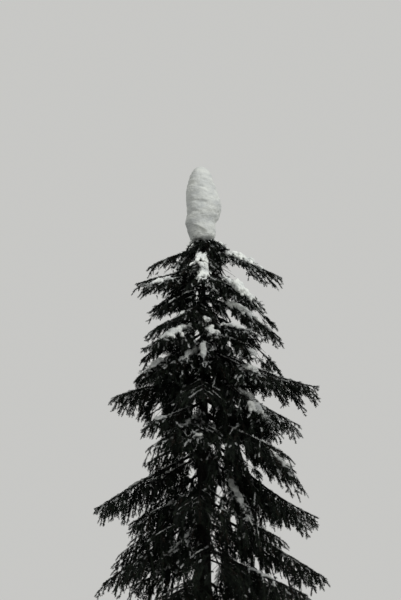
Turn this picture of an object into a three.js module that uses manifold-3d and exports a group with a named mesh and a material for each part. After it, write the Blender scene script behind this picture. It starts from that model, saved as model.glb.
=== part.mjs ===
// A tall, narrow norway spruce from a snowy mountain forest: a straight tapering trunk with a root
// flare, drooping main boughs, hanging masses of needle sprays, a high cap of snow on the leader
// and ridges of snow on the boughs. Millimetres, degrees, +Z up. The tree stands on z = 0 with its
// trunk on the Z axis, -Y faces the viewer and +X is to the viewer's right.

import * as THREE from 'three';
import { mergeVertices } from 'three/addons/utils/BufferGeometryUtils.js';
import Module from 'manifold-3d';

const wasm = await Module();
wasm.setup();

// Whole tree
const treeTop = 12000;
const leaderTop = 11750;
const clearance = 0.3;

// Trunk: a straight cone with a lobed flare where the roots leave it
const trunkTipRadius = 4;
const trunkTaper = 0.0185;
const trunkSides = 16;
const trunkRings = [0, 90, 220, 420, 750, 1300, 2600, 4200, 5800, 7400, 8900, 10200, 11000];
const flareShare = 0.55;
const flareHeight = 260;
const flareLobes = 5;
const flareLobeShare = 0.16;

// Snow cap: radius and sideways shift of its outline at heights over its base
const capBase = 10775;
const capSides = 14;
const capOutline = [
  { height: 0, radius: 195, shift: 10 },
  { height: 110, radius: 228, shift: -20 },
  { height: 290, radius: 238, shift: -30 },
  { height: 400, radius: 268, shift: -8 },
  { height: 560, radius: 276, shift: 0 },
  { height: 770, radius: 246, shift: -30 },
  { height: 930, radius: 200, shift: -36 },
  { height: 1110, radius: 128, shift: -36 },
  { height: 1190, radius: 70, shift: -38 },
];

// Boughs that show from the front. height: root on the trunk, aim: degrees from +X towards +Y,
// reach: level distance to the tip, drop: fall to the tip, arch: rise of the middle.
// hang: share of the usual depth of its sprays. snow: stretch that a ridge of snow covers, with
// its half width.
const seenBoughs = [
  { height: 10720, aim: -12, reach: 1270, drop: 640, arch: 30, snow: { from: 0.3, to: 0.68, radius: 42 } },
  { height: 10640, aim: 173, reach: 860, drop: 300, arch: 40 },
  { height: 10600, aim: -97, reach: 820, drop: 520, arch: 20, snow: { from: 0.2, to: 0.76, radius: 88 } },
  { height: 10330, aim: 192, reach: 1060, drop: 320, arch: 20 },
  { height: 10300, aim: 14, reach: 1140, drop: 860, arch: 90, snow: { from: 0.27, to: 0.74, radius: 42 } },
  { height: 9870, aim: -19, reach: 1250, drop: 780, arch: 90, snow: { from: 0.24, to: 0.72, radius: 46 } },
  { height: 9600, aim: 183, reach: 960, drop: 760, arch: 20 },
  { height: 9450, aim: 9, reach: 1230, drop: 820, arch: 220 },
  { height: 9180, aim: 226, reach: 930, drop: 560, arch: 20 },
  { height: 9100, aim: -6, reach: 1750, drop: 720, arch: -70 },
  { height: 8620, aim: -22, reach: 1540, drop: 910, arch: 0, snow: { from: 0.27, to: 0.62, radius: 72 } },
  { height: 8420, aim: 186, reach: 1400, drop: 200, arch: 110 },
  { height: 8250, aim: 11, reach: 1560, drop: 1400, arch: 120, hang: 0.5 },
  { height: 7750, aim: -12, reach: 1740, drop: 1400, arch: -150 },
  { height: 7620, aim: -52, reach: 1180, drop: 1500, arch: 20, snow: { from: 0.38, to: 0.86, radius: 50 } },
  { height: 7450, aim: 177, reach: 1640, drop: 900, arch: 30 },
  { height: 6550, aim: 6, reach: 1860, drop: 1040, arch: 20 },
  { height: 6450, aim: 204, reach: 1600, drop: 1120, arch: 20 },
];

// Boughs at the back and front of the upper crown
const fillBoughs = 7;
const fillTop = 10350;
const fillSpacing = 590;
const fillSwing = 34;

// Boughs of the lower crown, in a spiral round the trunk
const lowerBoughs = 15;
const lowerTop = 5950;
const lowerBottom = 1950;
const goldenAngle = 137.5;
const lowerTurn = -38;

// Reach and fall of the boughs that a rule places
const crownWidest = 2060;
const crownTop = 12100;
const crownSwell = 2500;
const reachSpread = 0.16;
const dropShare = 0.5;
const dropSpread = 0.24;
const aimSpread = 16;
const archLeast = -18;
const archMost = 42;
const footRise = 0.12;
const footHeight = 3000;

// Limbs and stems
const limbRadiusShare = 0.0125;
const limbTipRadius = 3.5;
const limbSides = 6;
const limbSteps = 4;
const limbShare = 0.36;
const limbReach = 1875;
const stemSides = 3;
const stemSteps = 5;

// Hanging sprays
const firstSpray = 0.13;
const lastSpray = 0.86;
const sprayPitch = 215;
const sprayAngle = 54;
const sprayLengthShare = 0.37;
const sprayThickness = 15;
const sprayDroop = 0.12;
const sprayTeeth = 3;
const hangLeast = 190;
const hangMost = 640;
const hangGain = 0.11;
const notchShare = 0.34;
const toothPlace = 0.35;
const toothScatter = 0.35;
const toothFade = 0.45;
const sizeSpread = 0.3;
const swellStart = 0.12;
const slimmest = 0.2;
const placeSpread = 0.4;
const angleFade = 0.25;
const fewestSprays = 4;
const tipSprayLength = 300;
const tipSprayInside = 0.8;
const groundGap = 350;
const sprayGap = 1.5;
const shorterTries = [1, 0.74, 0.52];

// Snow ridges on boughs
const snowSides = 8;
const snowRings = 7;
const snowRise = 0.82;
const snowLobes = 2;
const snowLobeShare = 0.2;

const bark = { color: 0x2a2622, roughness: 0.95, metalness: 0 };
const needles = { color: 0x1b2a1c, roughness: 0.8, metalness: 0 };
const snow = { color: 0xd8dbd3, roughness: 0.7, metalness: 0 };

const up = new THREE.Vector3(0, 0, 1);

function radians(degrees) {
  return THREE.MathUtils.degToRad(degrees);
}

// A seeded run of even numbers from 0 to 1
function seededRandom(seed) {
  let state = (seed * 7919 + 101) % 2147483647;
  return () => {
    state = (state * 16807) % 2147483647;
    return state / 2147483647;
  };
}

// A factor that lies evenly round 1
function vary(random, spread) {
  return 1 + spread * (random() - 0.5);
}

// A closed geometry as a solid that can be joined and cut
function solidOf(geometry) {
  const bare = geometry.clone();
  bare.deleteAttribute('normal');
  bare.deleteAttribute('uv');
  const merged = mergeVertices(bare, 0.001);
  const corners = merged.index.array;
  const kept = [];
  for (let i = 0; i < corners.length; i += 3) {
    const [a, b, c] = [corners[i], corners[i + 1], corners[i + 2]];
    if (a !== b && b !== c && c !== a) kept.push(a, b, c);
  }
  const vertProperties = new Float32Array(merged.attributes.position.array);
  const triVerts = new Uint32Array(kept);
  return new wasm.Manifold(new wasm.Mesh({ numProp: 3, vertProperties, triVerts }));
}

function geometryOf(solid) {
  const mesh = solid.getMesh();
  const geometry = new THREE.BufferGeometry();
  geometry.setAttribute('position', new THREE.BufferAttribute(mesh.vertProperties, 3));
  geometry.setIndex(new THREE.BufferAttribute(mesh.triVerts, 1));
  geometry.computeVertexNormals();
  return geometry;
}

// The one body that is left when scraps and sealed hollows are dropped
function mainBody(solid) {
  const bodies = solid.decompose();
  return bodies.reduce((largest, body) => (body.volume() > largest.volume() ? body : largest));
}

// Moves every vertex of a geometry to the place that a function gives
function warp(geometry, place) {
  const position = geometry.attributes.position;
  const point = new THREE.Vector3();
  for (let i = 0; i < position.count; i += 1) {
    point.fromBufferAttribute(position, i);
    const moved = place(point);
    position.setXYZ(i, moved.x, moved.y, moved.z);
  }
  return geometry;
}

// Trunk

function trunkRadius(z) {
  const cone = trunkTipRadius + (leaderTop - z) * trunkTaper;
  return cone * (1 + flareShare * Math.exp(-z / flareHeight));
}

function trunkSolid(grow) {
  const outline = [new THREE.Vector2(0, 0)];
  for (const z of trunkRings) {
    outline.push(new THREE.Vector2(trunkRadius(z) + grow, z));
  }
  outline.push(new THREE.Vector2(trunkTipRadius + grow, leaderTop + grow));
  outline.push(new THREE.Vector2(0, leaderTop + grow));
  const lathe = new THREE.LatheGeometry(outline, trunkSides);
  return solidOf(warp(lathe, (point) => {
    const angle = Math.atan2(point.z, point.x);
    const lobe = flareLobeShare * Math.exp(-point.y / flareHeight) * Math.cos(flareLobes * angle);
    return new THREE.Vector3(point.x * (1 + lobe), -point.z * (1 + lobe), point.y);
  }));
}

// Snow cap

function capShift(height) {
  const above = capOutline.findIndex((ring) => ring.height >= height);
  if (above < 0) return capOutline[capOutline.length - 1].shift;
  if (above === 0) return capOutline[0].shift;
  const low = capOutline[above - 1];
  const high = capOutline[above];
  return THREE.MathUtils.mapLinear(height, low.height, high.height, low.shift, high.shift);
}

function capSolid() {
  const outline = [new THREE.Vector2(0, 0)];
  for (const ring of capOutline) {
    outline.push(new THREE.Vector2(ring.radius, ring.height));
  }
  outline.push(new THREE.Vector2(0, treeTop - capBase));
  const lathe = new THREE.LatheGeometry(outline, capSides);
  const body = solidOf(warp(lathe, (point) => (
    new THREE.Vector3(point.x + capShift(point.y), -point.z, capBase + point.y)
  )));
  return body.subtract(trunkSolid(clearance));
}

// Boughs

function ruleReach(height) {
  return crownWidest * (1 - Math.exp(-(crownTop - height) / crownSwell));
}

function ruleBough(height, aim, random) {
  const reach = ruleReach(height) * vary(random, reachSpread);
  const foot = Math.max(0, 1 - height / footHeight);
  return {
    height,
    aim: aim + aimSpread * (random() - 0.5),
    reach,
    drop: reach * (dropShare * vary(random, dropSpread) - footRise * foot),
    arch: THREE.MathUtils.lerp(archLeast, archMost, random()),
  };
}

function allBoughs() {
  const boughs = seenBoughs.map((bough) => ({ ...bough }));
  const random = seededRandom(5);
  for (let i = 0; i < fillBoughs; i += 1) {
    const back = i % 3 !== 1;
    const aim = (back ? 90 : -90) + fillSwing * (i % 2 === 0 ? 1 : -1);
    boughs.push(ruleBough(fillTop - i * fillSpacing, aim, random));
  }
  for (let i = 0; i < lowerBoughs; i += 1) {
    const height = THREE.MathUtils.mapLinear(i, 0, lowerBoughs - 1, lowerTop, lowerBottom);
    boughs.push(ruleBough(height, lowerTurn + i * goldenAngle, random));
  }
  boughs.sort((a, b) => b.height - a.height);
  return boughs.map((bough, i) => ({ ...bough, number: i + 1 }));
}

function boughHeading(bough) {
  const angle = radians(bough.aim);
  return new THREE.Vector3(Math.cos(angle), Math.sin(angle), 0);
}

function boughPoint(bough, t) {
  const point = boughHeading(bough).multiplyScalar(bough.reach * t);
  point.z = bough.height - bough.drop * t + 4 * bough.arch * t * (1 - t);
  return point;
}

function boughRadius(bough, t) {
  return limbTipRadius + bough.reach * limbRadiusShare * (1 - t);
}

// The frame that rides along a bough: sideways, forwards and upwards
function boughFrame(bough, t) {
  const forward = boughPoint(bough, t + 0.01).sub(boughPoint(bough, t - 0.01)).normalize();
  const side = new THREE.Vector3().crossVectors(forward, up).normalize();
  return { side, forward, upward: new THREE.Vector3().crossVectors(side, forward) };
}

function boughStretch(bough, from, to, sides, steps) {
  const tube = new THREE.CylinderGeometry(1, 1, 1, sides, steps);
  return solidOf(warp(tube, (point) => {
    const t = THREE.MathUtils.lerp(from, to, point.y + 0.5);
    const { side, upward } = boughFrame(bough, t);
    const radius = boughRadius(bough, t);
    return boughPoint(bough, t)
      .addScaledVector(side, -point.x * radius)
      .addScaledVector(upward, -point.z * radius);
  }));
}

// Snow that lies along the top of a bough, a little let in round it
function snowRidge(bough, grow) {
  const { from, to, radius } = bough.snow;
  const ball = new THREE.SphereGeometry(1, snowSides, snowRings);
  return solidOf(warp(ball, (point) => {
    const t = THREE.MathUtils.lerp(from, to, (point.y + 1) / 2) + (point.y * grow) / bough.reach;
    const { side, upward } = boughFrame(bough, t);
    const lobe = 1 - snowLobeShare * Math.cos(Math.PI * snowLobes * point.y) ** 2;
    const width = radius * lobe + grow;
    return boughPoint(bough, t)
      .addScaledVector(upward, boughRadius(bough, t) * 0.6 + radius * snowRise - point.z * width)
      .addScaledVector(side, -point.x * width);
  }));
}

// Sprays

function hangAt(bough) {
  const depth = Math.min(hangMost, hangLeast + (leaderTop - bough.height) * hangGain);
  return depth * (bough.hang ?? 1);
}

// How wide and deep the sprays are along a bough, as a share of the most: soon full, slim at the tip
function spraySwell(t) {
  const place = Math.min(1, swellStart + t * (1 - swellStart));
  return slimmest + (1 - slimmest) * Math.sin(Math.PI * place);
}

// Fall of a bough for each step away from the trunk
function boughSlope(bough, t) {
  return (bough.drop - 4 * bough.arch * (1 - 2 * t)) / bough.reach;
}

// A flat spray of hanging shoots: its upper edge follows the twig, its lower edge is toothed
function sprayShape(spray, share) {
  const length = spray.length * share;
  const hang = spray.hang * share;
  const pitch = length / spray.teeth.length;
  const edge = (along) => -spray.slope * Math.max(0, along);
  const shape = new THREE.Shape();
  shape.moveTo(-spray.sink, -spray.sink * 0.5);
  shape.lineTo(-spray.sink, spray.sink * 0.35);
  shape.lineTo(length, edge(length));
  for (let i = spray.teeth.length - 1; i >= 0; i -= 1) {
    const along = (i + spray.teeth[i].place) * pitch;
    shape.lineTo(along, edge(along) - hang * spray.teeth[i].depth);
    if (i > 0) shape.lineTo(i * pitch, edge(i * pitch) - hang * notchShare);
  }
  return shape;
}

function spraySolid(spray, share) {
  const depth = sprayThickness;
  const plate = new THREE.ExtrudeGeometry(sprayShape(spray, share), { depth, bevelEnabled: false });
  plate.translate(0, 0, -depth / 2);
  const across = new THREE.Vector3().crossVectors(spray.heading, up);
  const turn = new THREE.Matrix4().makeBasis(spray.heading, up, across);
  turn.setPosition(spray.root);
  return solidOf(plate.applyMatrix4(turn));
}

function touches(piece, others) {
  return others.some((other) => piece.minGap(other, sprayGap * 2) < sprayGap);
}

function boxesMeet(a, b, margin) {
  const first = a.boundingBox();
  const second = b.boundingBox();
  return [0, 1, 2].every((axis) => (
    first.min[axis] - margin < second.max[axis] && second.min[axis] - margin < first.max[axis]
  ));
}

function newSpray(bough, t, turn, length, random) {
  const teeth = [];
  for (let i = 0; i < sprayTeeth; i += 1) {
    const depth = (1 - toothFade * (i / sprayTeeth) ** 2) * vary(random, sizeSpread);
    teeth.push({ place: toothPlace + toothScatter * random(), depth });
  }
  return {
    root: boughPoint(bough, t),
    heading: boughHeading(bough).applyAxisAngle(up, radians(turn)),
    length,
    hang: hangAt(bough) * spraySwell(t) * vary(random, sizeSpread),
    slope: Math.max(0, boughSlope(bough, t) * Math.cos(radians(turn))) + sprayDroop,
    sink: boughRadius(bough, t) * 1.1,
    teeth,
  };
}

// A spray's solid, made shorter where it would touch its neighbours, or null where none fits
function fittedSpray(spray, neighbours) {
  for (const share of shorterTries) {
    const piece = spraySolid(spray, share);
    const near = neighbours.filter((other) => boxesMeet(piece, other, sprayGap));
    if (!touches(piece, near) && piece.boundingBox().min[2] > groundGap) return piece;
  }
  return null;
}

// The sprays of a bough: side sprays in turn left and right, then one at the tip
function boughSprays(bough, start) {
  const random = seededRandom(bough.number);
  const first = Math.max(firstSpray, start + 0.05);
  const wanted = Math.round(((lastSpray - first) * bough.reach) / sprayPitch);
  const count = Math.max(fewestSprays, wanted);
  const sprays = [];
  for (let i = 0; i < count; i += 1) {
    const place = (i + 0.5 + placeSpread * (random() - 0.5)) / count;
    const t = THREE.MathUtils.lerp(first, lastSpray, place);
    const side = (i + bough.number) % 2 === 0 ? 1 : -1;
    const turn = side * sprayAngle * (1 - angleFade * t);
    const length = bough.reach * sprayLengthShare * spraySwell(t) * vary(random, sizeSpread);
    sprays.push(newSpray(bough, t, turn, length, random));
  }
  const tipStart = 1 - (tipSprayLength * tipSprayInside) / bough.reach;
  sprays.push(newSpray(bough, tipStart, 0, tipSprayLength, random));
  return sprays;
}

// A mass of foliage: one stem with its sprays fused on, cut clear of the trunk and the snow
function massSolid(stem, neighbours, cuts) {
  let mass = stem.solid;
  for (const spray of boughSprays(stem.bough, stem.start)) {
    const piece = fittedSpray(spray, neighbours);
    if (piece) mass = mass.add(piece);
  }
  for (const cut of cuts.filter((other) => boxesMeet(mass, other, 1))) {
    mass = mass.subtract(cut);
  }
  return mainBody(mass);
}

// The tree

const tree = new THREE.Group();

function addPart(name, solid, look) {
  const mesh = new THREE.Mesh(geometryOf(solid), new THREE.MeshStandardMaterial(look));
  mesh.name = name;
  tree.add(mesh);
}

function twoDigits(number) {
  return String(number).padStart(2, '0');
}

const trunk = trunkSolid(0);
const trunkClear = trunkSolid(clearance);
const cap = capSolid();
const boughs = allBoughs();
const placed = [trunk, cap];

addPart('trunk', trunk, bark);
addPart('snow_cap', cap, snow);

const snowyBoughs = boughs.filter((bough) => bough.snow);
for (const bough of snowyBoughs) {
  const ridge = snowRidge(bough, 0);
  placed.push(ridge);
  addPart(`snow_${twoDigits(bough.number)}`, ridge, snow);
}

const limbs = boughs.filter((bough) => bough.reach > limbReach);
for (const bough of limbs) {
  const limb = mainBody(boughStretch(bough, 0, limbShare, limbSides, limbSteps).subtract(trunkClear));
  placed.push(limb);
  addPart(`bough_${twoDigits(bough.number)}`, limb, bark);
}

// Every stem is known before the first spray, so that no spray touches a stem that comes later
const stems = boughs.map((bough) => {
  const start = limbs.includes(bough) ? limbShare + clearance / bough.reach : 0;
  return { bough, start, solid: boughStretch(bough, start, 1, stemSides, stemSteps) };
});
const cuts = [trunkClear, ...snowyBoughs.map((bough) => snowRidge(bough, clearance))];
for (const stem of stems) {
  const others = stems.filter((other) => other !== stem).map((other) => other.solid);
  const mass = massSolid(stem, [...placed, ...others], cuts);
  placed.push(mass);
  addPart(`foliage_${twoDigits(stem.bough.number)}`, mass, needles);
}

export default tree;
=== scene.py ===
import math

import bmesh
import bpy
import numpy as np
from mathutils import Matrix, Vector, noise


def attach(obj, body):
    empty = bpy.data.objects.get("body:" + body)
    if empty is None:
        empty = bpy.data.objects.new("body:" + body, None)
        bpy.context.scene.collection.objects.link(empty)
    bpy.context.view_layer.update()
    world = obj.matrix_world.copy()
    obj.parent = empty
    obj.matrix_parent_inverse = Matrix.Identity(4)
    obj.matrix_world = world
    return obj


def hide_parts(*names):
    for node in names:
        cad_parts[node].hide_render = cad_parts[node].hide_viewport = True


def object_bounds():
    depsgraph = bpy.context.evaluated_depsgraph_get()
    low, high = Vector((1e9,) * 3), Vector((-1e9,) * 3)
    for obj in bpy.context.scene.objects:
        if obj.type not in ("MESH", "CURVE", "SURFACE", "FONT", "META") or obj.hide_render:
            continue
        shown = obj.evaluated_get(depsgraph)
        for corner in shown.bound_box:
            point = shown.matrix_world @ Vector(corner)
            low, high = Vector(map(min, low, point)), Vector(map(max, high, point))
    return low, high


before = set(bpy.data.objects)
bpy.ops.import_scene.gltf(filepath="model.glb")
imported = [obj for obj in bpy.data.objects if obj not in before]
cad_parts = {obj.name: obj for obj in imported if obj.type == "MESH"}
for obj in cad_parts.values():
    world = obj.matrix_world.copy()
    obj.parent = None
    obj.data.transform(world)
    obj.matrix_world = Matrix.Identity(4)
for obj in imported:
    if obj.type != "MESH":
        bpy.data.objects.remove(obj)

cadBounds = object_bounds()
scene = bpy.context.scene
nodeNames = list(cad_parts)
up = np.array([0.0, 0.0, 1.0])
lowest, highest = np.array(cadBounds)


# the camera stands at eye height some way off and looks up into the crown

view = {
    "distance": 30.0,
    "eyeHeight": 1.6,
    "treeTop": 12.0,
    "pixelsHigh": 600,
    "focalPixels": 2000.0,
    "topPixel": 167.0,      # row of the cap's top
    "axisPixel": 203.5,     # column of the trunk
    "middlePixel": 200.5,
    "sensor": 36.0,
    "farClip": 2000.0,
}


def makeCamera():
    data = bpy.data.cameras.new("camera")
    data.sensor_width = view["sensor"]
    data.lens = view["focalPixels"] * view["sensor"] / view["pixelsHigh"]
    data.clip_end = view["farClip"]
    camera = bpy.data.objects.new("camera", data)
    scene.collection.objects.link(camera)
    aside = (view["axisPixel"] - view["middlePixel"]) / view["focalPixels"] * view["distance"]
    camera.location = (-aside, -view["distance"], view["eyeHeight"])
    rise = math.atan((view["treeTop"] - view["eyeHeight"]) / view["distance"])
    above = math.atan((view["pixelsHigh"] / 2 - view["topPixel"]) / view["focalPixels"])
    camera.rotation_euler = (math.pi / 2 + rise - above, 0.0, 0.0)
    scene.camera = camera


makeCamera()
print("camera set")


# shader maths: one wrapped socket, and one method that makes every node

class Signal:
    def __init__(self, shader, socket):
        self.shader = shader
        self.socket = socket

    def mathWith(self, operation, first, second):
        return self.shader.node("ShaderNodeMath", {"operation": operation}, {0: first, 1: second})

    def __add__(self, other):
        return self.mathWith("ADD", self, other)

    __radd__ = __add__

    def __sub__(self, other):
        return self.mathWith("SUBTRACT", self, other)

    def __rsub__(self, other):
        return self.mathWith("SUBTRACT", other, self)

    def __mul__(self, other):
        return self.mathWith("MULTIPLY", self, other)

    __rmul__ = __mul__


class Shader:
    def __init__(self, name, roughness=0.8, color=None, specular=0.5):
        self.material = bpy.data.materials.new(name)
        self.material.use_nodes = True
        self.tree = self.material.node_tree
        self.surface = self.tree.nodes["Principled BSDF"]
        self.surface.inputs["Roughness"].default_value = roughness
        self.surface.inputs["Specular IOR Level"].default_value = specular
        if color:
            self.surface.inputs["Base Color"].default_value = (*color, 1.0)

    def node(self, kind, settings=None, inputs=None, output=0):
        made = self.tree.nodes.new(kind)
        for key, value in (settings or {}).items():
            if key == "stops":
                self.setStops(made.color_ramp, value)
            else:
                setattr(made, key, value)
        for key, value in (inputs or {}).items():
            self.feed(made.inputs[key], value)
        return Signal(self, made.outputs[output])

    def setStops(self, ramp, stops):
        while len(ramp.elements) < len(stops):
            ramp.elements.new(0.5)
        for element, (place, color) in zip(ramp.elements, stops):
            element.position = place
            element.color = (*color, 1.0)

    def feed(self, socket, value):
        if isinstance(value, Signal):
            self.tree.links.new(value.socket, socket)
        else:
            socket.default_value = value

    def set(self, name, value):
        self.feed(self.surface.inputs[name], value)

    def coords(self, scale=(1.0, 1.0, 1.0), turn=(0.0, 0.0, 0.0)):
        place = self.node("ShaderNodeTexCoord", output="Object")
        return self.node("ShaderNodeMapping", None, {"Vector": place, "Scale": scale, "Rotation": turn})

    def noise(self, where, scale, detail=4.0, roughness=0.55):
        values = {"Vector": where, "Scale": scale, "Detail": detail, "Roughness": roughness}
        return self.node("ShaderNodeTexNoise", None, values)

    def mix(self, share, first, second):
        values = {0: share, 6: first, 7: second}
        return self.node("ShaderNodeMix", {"data_type": "RGBA"}, values, output=2)

    def ramp(self, share, stops):
        return self.node("ShaderNodeValToRGB", {"stops": stops}, {0: share})

    def axis(self, number):
        return self.node("ShaderNodeSeparateXYZ", None, {0: self.coords()}, output=number)

    def share(self, value, start, end):
        return self.node("ShaderNodeMapRange", None, {"Value": value, "From Min": start, "From Max": end})

    def bump(self, height, strength, distance):
        values = {"Height": height, "Strength": strength, "Distance": distance}
        self.set("Normal", self.node("ShaderNodeBump", None, values))


barkLook = {
    "crack": (0.0022, 0.0020, 0.0018),
    "plate": (0.0095, 0.0082, 0.0072),
    "pale": (0.0220, 0.0200, 0.0180),
    "specular": 0.12,
    "roughest": 0.98,
    "patchSmoothness": 0.12,
    "plateScale": (34.0, 34.0, 20.0),
    "crackEdge": 0.07,
    "plateEdge": 0.34,
    "warp": 3.2,
    "warpScale": 0.8,
    "grainScale": 60.0,
    "grainStretch": (1.0, 1.0, 0.5),
    "grainShare": 0.16,
    "patchScale": 2.2,
    "plateBump": 0.7,
    "grainBump": 0.5,
    "bump": (0.7, 0.006),       # strength and distance
}


def makeBark(name, scale):
    shader = Shader(name, specular=barkLook["specular"])
    straight = shader.coords(tuple(value * scale for value in barkLook["plateScale"]))
    values = {"Vector": straight, "Scale": barkLook["warpScale"], "Detail": 5.0}
    warp = shader.node("ShaderNodeTexNoise", None, values, output="Color")
    values = {0: warp, 1: (barkLook["warp"],) * 3, 2: straight}
    where = shader.node("ShaderNodeVectorMath", {"operation": "MULTIPLY_ADD"}, values)
    values = {"Vector": where, "Scale": 1.0}
    cells = shader.node("ShaderNodeTexVoronoi", {"feature": "DISTANCE_TO_EDGE"}, values)
    grain = shader.noise(shader.coords(barkLook["grainStretch"]), barkLook["grainScale"] * scale, 6.0)
    patches = shader.noise(shader.coords(), barkLook["patchScale"], 3.0)
    stops = [(barkLook["crackEdge"], (0, 0, 0)), (barkLook["plateEdge"], (1, 1, 1))]
    plates = shader.ramp(cells + grain * barkLook["grainShare"], stops)
    tint = shader.mix(patches, (*barkLook["plate"], 1.0), (*barkLook["pale"], 1.0))
    shader.set("Base Color", shader.mix(plates, (*barkLook["crack"], 1.0), tint))
    shader.set("Roughness", barkLook["roughest"] - barkLook["patchSmoothness"] * patches)
    shader.bump(plates * barkLook["plateBump"] + grain * barkLook["grainBump"], *barkLook["bump"])
    return shader.material


# needle colours, far darker than needles are so that the crown comes out as dark as its shade: in part
# painted shade; the first is a still darker copy of the green, painted shade dealt out at random
needleLooks = [
    {"name": "needlePaintedShade", "color": (0.0032, 0.0046, 0.0034), "share": 0.44},
    {"name": "needleGreen", "color": (0.0058, 0.0088, 0.0058), "share": 0.36},
    {"name": "needleYoung", "color": (0.0115, 0.0165, 0.0105), "share": 0.14},
    {"name": "needleBrown", "color": (0.0120, 0.0090, 0.0065), "share": 0.06},
    {"name": "needleFrost", "color": (0.3600, 0.3720, 0.3660), "share": 0.0},
]
frostSlot = 4
needleFinish = {"roughness": 0.7, "specular": 0.1}


def makeNeedles():
    return [Shader(look["name"], color=look["color"], **needleFinish).material for look in needleLooks]


snowLook = {
    "shade": (0.47, 0.49, 0.49),
    "light": (0.66, 0.68, 0.65),
    "shadeTo": 0.36,
    "lightFrom": 0.58,
    "topPaintedLight": 1.28,        # painted light and shade: bough snow is brightest high in the crown and darker low down, where the crown and the trees around shade it
    "lowPaintedShade": 0.60,
    "lowHeight": 8.2,
    "topHeight": 9.9,
    "specular": 0.2,
    "smoothest": 0.68,
    "wideRoughness": 0.2,
    "wideStretch": (1.0, 1.0, 1.8),
    "wideScale": 4.5,
    "fineScale": 55.0,
    "fineShare": 0.25,
    "fineBump": 0.6,
    "bump": (0.3, 0.012),       # strength and distance
}

capLook = {
    # darkest colour of the painted shade on the cap
    "shade": (0.20, 0.21, 0.22),
    "shadeFrom": -0.04,     # sideways; painted shade: the cap is darker to the left, away from the sun, most of all under its ledge, where in part the dark twigs show through thin snow
    "shadeTo": -0.24,
    "leftShade": 0.16,
    "ledgeShade": 0.40,
    "ledge": (10.920, 10.890),
    "ledgeSlope": 0.52,
    "layer": 0.07,
    "layerStretch": (3.0, 3.0),
    "layerShare": 0.28,
    "tilt": 0.33,
}


def snowColors(shader, shade, lift):
    dark, pale = (tuple(value * lift for value in snowLook[key]) for key in ("shade", "light"))
    return shader.ramp(shade, [(snowLook["shadeTo"], dark), (snowLook["lightFrom"], pale)])


# painted shade on the cap: darker to the left, away from the sun, and most of all under the ledge; in part
# the twigs seen through thin snow
def paintedCapShade(shader):
    x = shader.axis(0)
    left = shader.share(x, capLook["shadeFrom"], capLook["shadeTo"])
    under = shader.share(shader.axis(2) + x * capLook["ledgeSlope"], *capLook["ledge"])
    return left * (capLook["leftShade"] + capLook["ledgeShade"] * under)


def makeSnow(name, layered):
    shader = Shader(name, specular=snowLook["specular"])
    wide = shader.noise(shader.coords(snowLook["wideStretch"]), snowLook["wideScale"], 4.0)
    fine = shader.noise(shader.coords(), snowLook["fineScale"], 5.0, 0.7)
    shade = wide * (1 - snowLook["fineShare"]) + fine * snowLook["fineShare"]
    if layered:
        stretch = (*capLook["layerStretch"], 1.0 / capLook["layer"])
        layers = shader.noise(shader.coords(stretch, (0.0, capLook["tilt"], 0.0)), 1.0, 4.0, 0.6)
        shade = shade * (1 - capLook["layerShare"]) + layers * capLook["layerShare"]
        plain = snowColors(shader, shade, 1.0)
        color = shader.mix(paintedCapShade(shader), plain, (*capLook["shade"], 1.0))
    else:
        # painted light and shade: the bough snow goes from a darker colour low in the crown to a brighter one
        # high up
        high = shader.share(shader.axis(2), snowLook["lowHeight"], snowLook["topHeight"])
        paintedShadeColors = snowColors(shader, shade, snowLook["lowPaintedShade"])
        color = shader.mix(high, paintedShadeColors, snowColors(shader, shade, snowLook["topPaintedLight"]))
    shader.set("Base Color", color)
    shader.set("Roughness", snowLook["smoothest"] + snowLook["wideRoughness"] * wide)
    shader.bump(fine * snowLook["fineBump"] + wide, *snowLook["bump"])
    return shader.material


trunkBark = makeBark("trunkBark", 1.0)
boughBark = makeBark("boughBark", 2.4)
needleSkins = makeNeedles()
capSnow = makeSnow("capSnow", True)
ridgeSnow = makeSnow("ridgeSnow", False)
print("materials made")


# pieces

def addPiece(name, mesh, materials, smooth=True):
    for material in materials:
        mesh.materials.append(material)
    mesh.polygons.foreach_set("use_smooth", [smooth] * len(mesh.polygons))
    piece = bpy.data.objects.new(name, mesh)
    scene.collection.objects.link(piece)
    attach(piece, "root")
    return piece


# an outline spun once round the upright axis
def spinRound(points, steps, weld):
    bm = bmesh.new()
    outline = [bm.verts.new(point) for point in points]
    edges = [bm.edges.new(pair) for pair in zip(outline, outline[1:])]
    bmesh.ops.spin(bm, geom=outline + edges, cent=(0, 0, 0), axis=(0, 0, 1), dvec=(0, 0, 0),
                   angle=math.tau, steps=steps, use_merge=True)
    bmesh.ops.remove_doubles(bm, verts=bm.verts, dist=weld)
    return bm


def meshFromBmesh(name, bm):
    mesh = bpy.data.meshes.new(name)
    bm.to_mesh(mesh)
    bm.free()
    return mesh


def meshFromArrays(name, corners, faces, slots):
    mesh = bpy.data.meshes.new(name)
    mesh.vertices.add(len(corners))
    mesh.vertices.foreach_set("co", corners.astype(np.float32).ravel())
    mesh.loops.add(faces.size)
    mesh.loops.foreach_set("vertex_index", faces.astype(np.int32).ravel())
    mesh.polygons.add(len(faces))
    mesh.polygons.foreach_set("loop_start", np.arange(0, faces.size, faces.shape[1], dtype=np.int32))
    mesh.polygons.foreach_set("material_index", slots.astype(np.int32))
    mesh.update(calc_edges=True)
    return mesh


def unit(vectors):
    return vectors / np.maximum(np.linalg.norm(vectors, axis=-1, keepdims=True), 1e-9)


# one seed each for the bark and the two runs that place boughs; the other runs count on from theirs

seeds = {
    "bark": 11,
    "mainBoughs": 5,
    "betweenBoughs": 29,
    "needles": 40,
    "unnumbered": 100,
    "shootShapes": 700,
    "snow": 1100,
    "fineSnow": 2300,
}


draws = {
    "range": 2147483647,
    "factor": 16807,
    "seedFactor": 7919,
    "seedShift": 101,
}


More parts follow.
